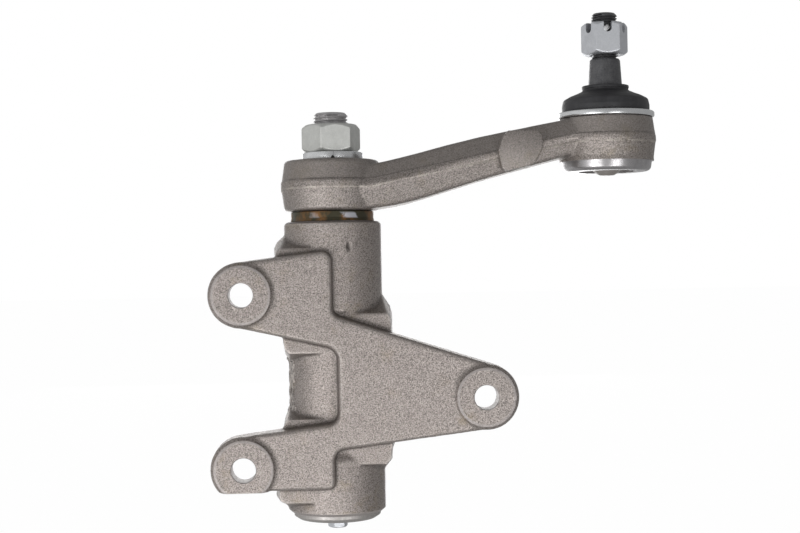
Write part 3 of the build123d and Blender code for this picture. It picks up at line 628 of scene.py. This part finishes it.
stop_pad = prism([
    (75.6, 168.5), (77.3, 161.2), (79.5, 159.8), (90.4, 162.1), (92.2, 163.2), (95.6, 168.8), (96.4, 172.2),
    (95.7, 175.9), (93.5, 178.2), (80.5, 178.0), (77.9, 175.2)], pad_face, pad_back)
front_edges = [edge for edge in stop_pad.edges if max(vert.co.y for vert in edge.verts) < pad_face + 0.5]
bmesh.ops.bevel(stop_pad, geom=front_edges, offset=0.55, segments=2, affect="EDGES", profile=0.5)
carved(arm, [stop_pad], "UNION")
parting_line = [
    (-30, 155.6), (8, 155.6), (17.3, 155.5), (44.6, 161.0), (75.0, 167.2), (95, 171.4), (112, 174.7),
    (160, 174.7)]


def parting_rise(place):
    """Height in mm above the parting line. The stop pad's face counts as above it, its sides as below."""
    x, y, z = place
    if 73 < x < 99 and y < -17.3:
        return 10.0 if y < pad_face + 0.1 else -50.0
    for (x0, z0), (x1, z1) in zip(parting_line, parting_line[1:]):
        if x0 <= x < x1:
            return z - z0 - (z1 - z0) * (x - x0) / (x1 - x0)
    return -50.0


stored(arm, "parting_rise", parting_rise)
shaded(arm, 38)
fitted(arm, "arm", "arm_side")

# Zinc plate
# Nuts, washer, plug and boot ring are zinc plated steel with a faint cloudiness. The
# shaft's nut is a little warmer than the rest, and rolled pieces are the brightest.
bright_zinc = surface_material(
    "bright_zinc", tool_marks, 1.0, 0.006, light=(0.64, 0.655, 0.685), dark=(0.52, 0.532, 0.555),
    cloud_size=260.0, marks=0.5, roughness=0.5)
pale_zinc = surface_material(
    "pale_zinc", tool_marks, 1.0, 0.006, light=(0.655, 0.66, 0.635), dark=(0.53, 0.535, 0.515),
    cloud_size=260.0, marks=0.5, roughness=0.5)
rolled_zinc = surface_material(
    "rolled_zinc", tool_marks, 1.0, 0.001, light=(0.75, 0.76, 0.77), dark=(0.62, 0.627, 0.635),
    cloud_size=260.0, marks=0.3, roughness=0.28)

# Nuts
# Two zinc plated nuts: a plain M16 nut, 24 mm across flats, and an M12 castle nut,
# 19 mm across flats, with six slots for a pin. Both are chamfered at both ends.


def hexagon_reach(flats, corner_round, angle):
    """Distance from the axis to a hexagon's side at an angle, its corners a little rounded."""
    off = (angle + pi / 6) % (pi / 3) - pi / 6
    corner = (flats / 2 - corner_round) / cos(pi / 6)
    away = pi / 6 - abs(off)
    inside = corner_round ** 2 - (corner * sin(away)) ** 2
    flat = flats / 2 / cos(off)
    return min(flat, corner * cos(away) + sqrt(inside)) if inside > 0 else flat


def nut_body(flats, low, high, face_r, slope, bore_r, edge, corner_round, turn):
    """A hexagon nut in mm with both ends turned down to a cone and every edge eased."""
    column_angles = (-30, -29, -28, -26.5, -24.5, -21, -16, -10, -3.5, 3.5, 10, 16, 21, 24.5, 26.5, 28, 29)
    bore_chamfer = 0.9
    bm = bmesh.new()
    columns = []
    for side in range(6):
        for column_angle in column_angles:
            off = radians(side * 60 + column_angle)
            reach = hexagon_reach(flats, corner_round, off)
            angle = off - pi / 2 + radians(turn)
            fall = (reach - face_r) * tan(slope)
            ease = min(edge, 0.45 * (reach - face_r) / cos(slope))
            half = [(bore_r, bore_chamfer), (bore_r + bore_chamfer, 0), (face_r - ease, 0),
                    (face_r + ease * cos(slope), ease * sin(slope)),
                    (reach - ease * cos(slope), fall - ease * sin(slope)), (reach, fall + ease),
                    (reach, fall + ease + 0.15)]
            outline = [(r, low + h) for r, h in half] + [(r, high - h) for r, h in reversed(half)]
            columns.append([bm.verts.new((r * cos(angle), r * sin(angle), z)) for r, z in outline])
    for here, there in zip(columns, columns[1:] + columns[:1]):
        for index in range(len(here)):
            after = (index + 1) % len(here)
            bm.faces.new((here[index], there[index], there[after], here[after]))
    bmesh.ops.recalc_face_normals(bm, faces=bm.faces)
    return bm


washer_top, shaft_nut_top = 170.4, 183.4
shaft_nut = solid("shaft_nut_m16", nut_body(
    flats=24.0, low=washer_top, high=shaft_nut_top, face_r=11.5, slope=radians(38), bore_r=8.05, edge=0.45,
    corner_round=0.7, turn=10.4), pale_zinc)
shaded(shaft_nut, 50)
fitted(shaft_nut, "shaft_nut", "arm_side")
castle_low, castle_high, castle_turn = 214.15, 228.95, 0.0
slot_width, slot_depth = 3.7, 5.0
castle_nut = solid("castle_nut_m12", placed(nut_body(
    flats=19.0, low=castle_low, high=castle_high, face_r=9.1, slope=radians(38), bore_r=6.05, edge=0.3,
    corner_round=0.25, turn=castle_turn), ball_x), bright_zinc)
slot_floor = castle_high - slot_depth + slot_width / 2
slot_shape = [(slot_width / 2, castle_high + 2), (-slot_width / 2, castle_high + 2)]
for step in range(13):
    turn = pi + step * pi / 12
    slot_shape.append((cos(turn) * slot_width / 2, slot_floor + sin(turn) * slot_width / 2))
slots = [placed(prism(slot_shape, -14, 14), ball_x, turn=castle_turn + side) for side in (0, 60, 120)]
carved(castle_nut, slots)
shaded(castle_nut, 40)
fitted(castle_nut, "castle_nut", "stud")

# Spring washer
# A split ring of square wire under the shaft's nut, zinc plated, its ends cut on a
# slant. The cut shows a little to the right of the middle in front.
washer_r, washer_bore_r, washer_shift = 14.0, 8.75, 0.65
washer = solid("split_washer", placed(turned(softened([
    (washer_bore_r, arm_top, 0.3), (washer_r, arm_top, 0.5), (washer_r, washer_top, 0.5),
    (washer_bore_r, washer_top, 0.3)], 3)), washer_shift), rolled_zinc)
washer_slit = prism([(0.5, 166.2), (0.62, 166.2), (1.3, 171.0), (1.18, 171.0)], -16, -6)
washer_nick = prism([(-0.9, 166.2), (2.1, 166.2), (1.7, 167.4), (0.7, 168.6), (-0.4, 167.4)], -16, -6)
carved(washer, [washer_slit, washer_nick])
shaded(washer, 40)
fitted(washer, "spring_washer", "arm_side")

# Shaft
# Ground steel, with a head at its foot and a tapered seat for the arm. Its M16 fine
# thread stands a little out of the nut, its lead chamfered.


def screw_thread(radius, depth, pitch, low, high, lead, steps=64):
    """A right-handed thread in mm, wound up a helix and cut level at both ends."""
    profile = ((0.0, radius - depth), (0.14, radius - depth), (0.44, radius - 0.08 * depth), (0.5, radius),
               (0.6, radius), (0.68, radius - 0.08 * depth))
    per_turn = len(profile)
    bm = bmesh.new()
    rows = []
    turns = int((high - low) / pitch) + 3
    for wind in range(turns):
        for share, reach in profile:
            rows.append([])
            for step in range(steps):
                angle = 2 * pi * step / steps
                height = low + (wind - 1.5 + share + step / steps) * pitch
                rows[-1].append(bm.verts.new((reach * cos(angle), reach * sin(angle), height)))
    for index in range(len(rows) - per_turn - 1):
        for step in range(steps):
            if step + 1 < steps:
                after = (rows[index][step + 1], rows[index + 1][step + 1])
            else:
                after = (rows[index + per_turn][0], rows[index + per_turn + 1][0])
            bm.faces.new((rows[index][step], after[0], after[1], rows[index + 1][step]))
    for height, side in ((high, 1), (low, -1)):
        bmesh.ops.bisect_plane(bm, geom=bm.verts[:] + bm.edges[:] + bm.faces[:], plane_co=(0, 0, height),
                               plane_no=(0, 0, side), clear_outer=True)
    loose = [vert for vert in bm.verts if not vert.link_faces]
    bmesh.ops.delete(bm, geom=loose, context="VERTS")
    for vert in bm.verts:
        reach = sqrt(vert.co.x ** 2 + vert.co.y ** 2)
        limit = radius - lead + min(lead, max(0.0, high - vert.co.z))
        if reach > limit or high - vert.co.z < lead:
            vert.co.x *= limit / reach
            vert.co.y *= limit / reach
    bmesh.ops.holes_fill(bm, edges=[edge for edge in bm.edges if edge.is_boundary])
    bmesh.ops.recalc_face_normals(bm, faces=bm.faces)
    return bm


dark_steel = surface_material(
    "dark_steel", tool_marks, 0.85, 0.01, light=(0.16, 0.16, 0.165), dark=(0.085, 0.085, 0.09),
    cloud_size=300.0, marks=0.3)
thread_steel = surface_material(
    "thread_steel", tool_marks, 0.9, 0.01, light=(0.62, 0.61, 0.61), dark=(0.38, 0.37, 0.375),
    cloud_size=500.0, marks=0.3)
ground_steel = surface_material(
    "ground_steel", tool_marks, 1.0, 0.004, light=(0.5, 0.49, 0.48), dark=(0.4, 0.39, 0.38),
    cloud_size=120.0, marks=0.2)
head_r, journal_r = 16.2, 11.0
grease_way_r, cross_way_r, cross_way_height = 1.75, 1.25, 75.0
shaft = solid("idler_shaft_turned", turned([
    (grease_way_r, 10.1), (16.0, 10.1), (head_r, 10.3), (head_r, 14.9), (16.0, 15.1), (11.2, 15.1),
    (journal_r, 15.6), (journal_r, 143.2), (10.6, 143.3), (10.6, arm_foot), (9.25, 165.0), (7.0, 165.0),
    (7.0, 175.0), (0, 175.0), (0, 77.6), (grease_way_r, 76.6)]), ground_steel, thread_steel)
shaft_thread = screw_thread(radius=7.97, depth=0.92, pitch=1.5, low=172.0, high=188.8, lead=1.3)
carved(shaft, [shaft_thread], "UNION", slot=1)
cross_way = facing_front(rod(cross_way_r, -15, 15, 24), 0, 0)
carved(shaft, [placed(cross_way, z=cross_way_height, turn=90)])
shaded(shaft, 35)
fitted(shaft, "idler_shaft", "arm_side")

# Ball stud
# Hardened steel, left dark: a ball, a waisted neck, a land that the boot grips, the
# 1:8 taper for the rod's eye and an M12 thread with a cross hole for the pin.
ball_r, neck_r, pin_hole_r = 11.0, 6.0, 1.6
land_r, land_low, land_high = 8.0, 197.3, 199.75
ball_start, ball_end = -58.7, 56.9
stud_outline = [(0, 165.3)]
for step in range(25):
    turn = radians(ball_start + step * (ball_end - ball_start) / 24)
    stud_outline.append((ball_r * cos(turn), ball_height + ball_r * sin(turn)))
stud_outline += softened([
    (neck_r, 186.0, 0), (neck_r, 195.1, 1.0), (land_r, land_low, 0.5), (land_r, land_high, 0.3),
    (7.8, 199.95, 0), (7.1, 211.4, 0.8), (6.6, 212.2, 0), (5.19, 212.3, 0), (5.19, 215.6, 0), (0, 215.6, 0)])
stud = solid("ball_stud_turned", placed(turned(stud_outline), ball_x), dark_steel)
stud_thread = screw_thread(radius=5.97, depth=0.78, pitch=1.25, low=212.25, high=233.6, lead=1.1)
carved(stud, [placed(stud_thread, ball_x)], "UNION")
pin_hole = facing_front(rod(pin_hole_r, -15, 15, 32), 0, 0)
carved(stud, [placed(pin_hole, ball_x, z=castle_high - slot_depth / 2, turn=castle_turn)])
shaded(stud, 35)
fitted(stud, "ball_stud", "stud")

# Dust seal
# A pressed steel case in yellow zinc above the barrel, smeared with old grease that
# shows brown, green and amber. Its rubber lip and the thrust ring are inside.


def seal_case_material():
    """Brown and amber grease over yellow zinc, with two soft slanting pale patches on the front as a painted
    reflection.
    """
    material, tree, shader = new_material("seal_case", metallic=0.5)
    broad = node_at(tree, "ShaderNodeTexNoise", -900, 300, scale=130.0, detail=3.0, roughness=0.6)
    smear = node_at(tree, "ShaderNodeTexNoise", -900, 0, scale=420.0, detail=4.0, roughness=0.7)
    sides = node_at(tree, "ShaderNodeSeparateXYZ", -900, -300)
    in_object_space(tree, broad, smear, sides)
    amber = grey_ramp(tree, -700, 300, broad.outputs["Fac"], 0.42, 0.6)
    smeared = grey_ramp(tree, -700, 100, smear.outputs["Fac"], 0.3, 0.5)
    amber = combined(tree, -500, 300, "MULTIPLY", amber, smeared)
    colour = mixed_colour(tree, -300, 300, amber, (0.055, 0.05, 0.028), (0.22, 0.11, 0.038))
    slant, case_middle, softness = 0.45, 0.141, 0.0007
    along = combined(tree, -700, -300, "MULTIPLY", sides.outputs["Z"], slant)
    along = combined(tree, -550, -300, "ADD", sides.outputs["X"], along)
    along = combined(tree, -550, -450, "SUBTRACT", along, slant * case_middle)
    wander = grey_ramp(tree, -700, -600, smear.outputs["Fac"], 0.3, 0.7, -0.0014, 0.0014)
    along = combined(tree, -450, -450, "ADD", along, wander)
    # Painted reflection: two soft, slanting, pale bluish patches on the front of the case only.
    painted_reflection = 0.0
    for low, high, share in ((0.0052, 0.0105, 0.75), (-0.0098, -0.0064, 0.25)):
        inside = between(tree, -200, -300, along, (low - softness, low + softness),
                         (high + softness, high - softness))
        painted_reflection = combined(tree, 0, -300, "ADD", combined(tree, -100, -300, "MULTIPLY", inside, share), painted_reflection)
    height = between(tree, 0, -500, sides.outputs["Z"], (0.1396, 0.14), (0.1427, 0.1418))
    painted_reflection = combined(tree, 150, -300, "MULTIPLY", painted_reflection, height)
    front = grey_ramp(tree, 0, -650, sides.outputs["Y"], -0.005, -0.01)
    painted_reflection = combined(tree, 150, -450, "MULTIPLY", painted_reflection, front)
    colour = mixed_colour(tree, 150, 300, painted_reflection, colour, (0.72, 0.73, 0.8))
    tree.links.new(colour, shader.inputs["Base Color"])
    shine = grey_ramp(tree, -100, 0, smear.outputs["Fac"], 0.4, 0.6, 0.3, 0.5)
    tree.links.new(shine, shader.inputs["Roughness"])
    bumped(tree, shader, smear.outputs["Fac"], 0.05)
    return material


seal_case = solid("seal_case", turned(softened([
    (16.3, 135.0, 0), (seal_seat_r, 135.0, 0), (seal_seat_r, barrel_top, 0), (19.4, barrel_top, 0.15),
    (19.3, 139.2, 0.3), (19.05, 140.2, 0.5), (19.1, 143.1, 0.4), (17.65, 143.1, 0.2), (17.65, 139.8, 0.3),
    (16.3, 139.8, 0.3)], 3)), seal_case_material())
shaded(seal_case, 40)
fitted(seal_case, "seal_shell", "bracket_side")

# End cap and plug
# A dished steel cap closes the barrel's foot, with an O-ring in its rim. An M6 plug
# with an 8 mm hexagon fills the hole where a grease nipple goes for servicing.
cap_steel = surface_material(
    "cap_steel", tool_marks, 0.7, 0.02, light=(0.5, 0.475, 0.455), dark=(0.34, 0.322, 0.31),
    cloud_size=700.0, marks=0.5, roughness=0.5)
plug_boss_r = 6.5
cap = solid("dished_cap", turned(softened([
    (3.0, 0.4, 0), (3.4, 0, 0), (plug_boss_r, 0, 0.4), (plug_boss_r, 1.6, 0.4), (17.6, 1.6, 1.2),
    (cap_seat_r, 3.2, 0.5), (cap_seat_r, 5.5, 0), (18.4, 5.5, 0), (18.4, 7.1, 0), (cap_seat_r, 7.1, 0),
    (cap_seat_r, 8.8, 0.2), (15.8, 8.8, 0.3), (15.8, 4.5, 0.8), (plug_boss_r, 4.5, 0.6),
    (plug_boss_r, 7.3, 0.2), (3.0, 7.3, 0)], 3)), cap_steel)
shaded(cap, 40)
fitted(cap, "end_cap", "bracket_side")
plug = solid("plug_m6", nut_body(
    flats=8.0, low=-2.9, high=0, face_r=3.75, slope=radians(35), bore_r=1.2, edge=0.15, corner_round=0.3,
    turn=10.4), bright_zinc)
plug_core = rod(2.6, -2.6, 6.0, 48)
plug_thread = screw_thread(radius=2.97, depth=0.5, pitch=1.0, low=-0.6, high=7.0, lead=0.6, steps=48)
carved(plug, [plug_core, plug_thread], "UNION")
shaded(plug, 40)
fitted(plug, "grease_plug", "bracket_side")

# Cover plate
# A steel disc under the ball, held by the housing's rolled lip. A shallow dome is
# pressed out of its middle, and it is dull grey.
cover_steel = surface_material(
    "cover_steel", tool_marks, 0.5, 0.02, light=(0.4, 0.37, 0.345), dark=(0.26, 0.24, 0.225),
    cloud_size=260.0, marks=0.5)
cover = solid("domed_cover", placed(turned(softened([
    (0, 157.92, 0), (3.4, 158.0, 2.4), (6.4, 160.1, 1.4), (6.7, cover_low, 0), (cover_r, cover_low, 0),
    (cover_r, cover_high, 0), (5.2, cover_high, 0.4), (5.1, 160.6, 0.6), (0, 159.4, 0)])), ball_x),
    cover_steel)
shaded(cover, 40)
fitted(cover, "cover_plate", "arm_side")

# Boot ring
# A zinc plated ring, rolled over the boot's flange on top of the housing. Its upper
# and outer edges are round from the rolling.
ring_top, ring_in_top = 187.4, 186.3
ring_r, ring_foot_bore_r, ring_bore_r = 22.5, 21.35, 20.45
boot_ring = solid("rolled_ring", placed(turned(softened([
    (ring_foot_bore_r, housing_top, 0), (ring_r, housing_top, 0.8), (ring_r, ring_top, 1.0),
    (ring_bore_r, ring_top, 0.4), (ring_bore_r, ring_in_top, 0), (ring_foot_bore_r, ring_in_top, 0)], 5)),
    ball_x), rolled_zinc)
shaded(boot_ring, 50)
fitted(boot_ring, "boot_ring", "arm_side")

# Dust boot
# A moulded rubber bulb, near black with a satin face. Its foot is under the ring and
# its collar grips the stud's land with a wire ring inside.


def rubber_material(name, dark, light, size):
    """Moulded rubber with a thin uneven film of dust, its patches of a given fineness."""
    material, tree, shader = new_material(name, metallic=0.0)
    dust = node_at(tree, "ShaderNodeTexNoise", -700, 300, scale=size, detail=5.0, roughness=0.7)
    grain = node_at(tree, "ShaderNodeTexNoise", -700, 0, scale=1800.0, detail=2.0)
    in_object_space(tree, dust, grain)
    share = grey_ramp(tree, -500, 300, dust.outputs["Fac"], 0.42, 0.72)
    tree.links.new(mixed_colour(tree, -200, 300, share, dark, light), shader.inputs["Base Color"])
    satin = grey_ramp(tree, -200, 0, dust.outputs["Fac"], 0.3, 0.7, 0.42, 0.62)
    tree.links.new(satin, shader.inputs["Roughness"])
    bumped(tree, shader, grain.outputs["Fac"], 0.03)
    return material


boot_rubber = rubber_material("boot_rubber", (0.028, 0.028, 0.031), (0.06, 0.06, 0.064), 150.0)
collar_bore_r = 8.15
boot = solid("moulded_boot", placed(turned(softened([
    (18.9, 184.85, 0), (21.15, 184.85, 0.3), (21.15, 185.95, 0.3), (20.25, 186.0, 0), (20.3, 188.0, 0),
    (20.3, 190.3, 1.0), (19.7, 193.2, 1.8), (16.6, 194.9, 1.2), (14.0, 195.9, 0), (11.1, 197.2, 1.0),
    (10.5, 198.0, 0.4), (10.9, 198.55, 0.25), (10.9, land_high, 0.35), (collar_bore_r, land_high, 0.15),
    (collar_bore_r, 199.26, 0), (9.16, 199.26, 0), (9.16, 198.14, 0), (collar_bore_r, 198.14, 0),
    (collar_bore_r, land_low, 0.2), (9.8, 196.2, 0.5), (14.0, 194.6, 0), (17.6, 193.0, 1.0),
    (18.6, 190.6, 1.0), (18.8, 188.0, 0)], 5)), ball_x), boot_rubber)
shaded(boot, 60)
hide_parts("dust_boot")
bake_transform(boot)

# Pieces inside
# Two bronze bushes and a bronze washer, a steel thrust ring, the rubber of seal and
# cap, two resin seats round the ball, a disc spring and the wire ring in the boot.
bush_bronze = surface_material(
    "bush_bronze", tool_marks, 1.0, 0.01, light=(0.62, 0.47, 0.27), dark=(0.47, 0.34, 0.18),
    cloud_size=150.0, marks=0.3)
thrust_steel = surface_material(
    "thrust_steel", tool_marks, 1.0, 0.006, light=(0.52, 0.51, 0.49), dark=(0.42, 0.41, 0.4),
    cloud_size=140.0, marks=0.3)
spring_steel = surface_material(
    "spring_steel", tool_marks, 0.9, 0.006, light=(0.29, 0.29, 0.3), dark=(0.2, 0.2, 0.21),
    cloud_size=180.0, marks=0.2)
seat_resin = surface_material(
    "seat_resin", tool_marks, 0.0, 0.01, light=(0.77, 0.75, 0.68), dark=(0.7, 0.68, 0.6),
    cloud_size=90.0, marks=0.2)
seal_rubber = rubber_material("seal_rubber", (0.045, 0.045, 0.045), (0.06, 0.058, 0.055), 120.0)
for node, material in (
        ("upper_bush", bush_bronze), ("lower_bush", bush_bronze), ("lower_thrust_washer", bush_bronze),
        ("upper_thrust_ring", thrust_steel), ("seal_lip", seal_rubber), ("cap_o_ring", seal_rubber),
        ("upper_ball_seat", seat_resin), ("pressure_cup", seat_resin), ("disc_spring", spring_steel),
        ("boot_neck_ring", spring_steel)):
    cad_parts[node].data.materials.clear()
    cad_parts[node].data.materials.append(material)

# Floor and light
# A plain white floor that stops no light, two tall soft boxes in front that reach below
# it, and a dimmer one at the back. The camera sees white beyond the object, and the
# metal sees a dimmer grey round it.
floor_height = -0.00295
floor = bpy.data.objects.new("floor", bpy.data.meshes.new("floor"))
sheet = bmesh.new()
bmesh.ops.create_grid(sheet, x_segments=1, y_segments=1, size=6)
bmesh.ops.translate(sheet, verts=sheet.verts, vec=(0, 0, floor_height))
sheet.to_mesh(floor.data)
sheet.free()
floor.visible_shadow = False
floor.visible_glossy = False
floor.visible_diffuse = False
bpy.context.scene.collection.objects.link(floor)
floor_paint, tree, shader = new_material("floor_paint", base_color=(0.93, 0.93, 0.93), roughness=0.9)
path = tree.nodes.new("ShaderNodeLightPath")
glow = tree.nodes.new("ShaderNodeEmission")
either = tree.nodes.new("ShaderNodeMixShader")
seen_white = combined(tree, 0, 100, "MULTIPLY", path.outputs["Is Camera Ray"], 0.99)
tree.links.new(seen_white, either.inputs["Fac"])
tree.links.new(shader.outputs["BSDF"], either.inputs[1])
tree.links.new(glow.outputs["Emission"], either.inputs[2])
tree.links.new(either.outputs["Shader"], tree.nodes["Material Output"].inputs["Surface"])
floor.data.materials.append(floor_paint)

world = bpy.data.worlds.new("studio")
world.use_nodes = True
bpy.context.scene.world = world
tree = world.node_tree
path = tree.nodes.new("ShaderNodeLightPath")
way = tree.nodes.new("ShaderNodeTexCoord")
sides = tree.nodes.new("ShaderNodeSeparateXYZ")
tree.links.new(way.outputs["Generated"], sides.inputs["Vector"])
around = grey_ramp(tree, -200, 0, sides.outputs["X"], -0.1, -0.9, 0.4, 0.72)
behind = grey_ramp(tree, -200, -200, sides.outputs["Y"], 0.86, 1.0, 0.0, 0.6)
around = combined(tree, -100, 0, "MAXIMUM", around, behind)
mirrored = combined(tree, 0, 0, "MULTIPLY", path.outputs["Is Glossy Ray"], around)
seen = combined(tree, 0, 200, "MAXIMUM", path.outputs["Is Camera Ray"], mirrored)
seen = combined(tree, 200, 100, "MAXIMUM", seen, 0.08)
tree.links.new(seen, tree.nodes["Background"].inputs["Strength"])
tree.nodes["Background"].inputs["Color"].default_value = (1, 1, 1, 1)


def soft_lamp(name, place, width, height, watts):
    """A large area lamp turned towards the object's middle."""
    object_middle = Vector((0.031, 0, 0.117))
    data = bpy.data.lights.new(name, "AREA")
    data.shape = "RECTANGLE"
    data.size = width
    data.size_y = height
    data.energy = watts
    lamp = bpy.data.objects.new(name, data)
    lamp.location = place
    lamp.rotation_euler = (object_middle - Vector(place)).to_track_quat("-Z", "Y").to_euler()
    bpy.context.scene.collection.objects.link(lamp)


soft_lamp("left_box", (-0.474, -0.696, -0.23), width=0.46, height=0.6, watts=4.2)
soft_lamp("right_box", (0.342, -0.81, -0.23), width=0.3, height=0.6, watts=2.7)
soft_lamp("back_box", (0.0, 0.9, 0.12), width=0.6, height=0.6, watts=3.0)

bpy.context.view_layer.update()
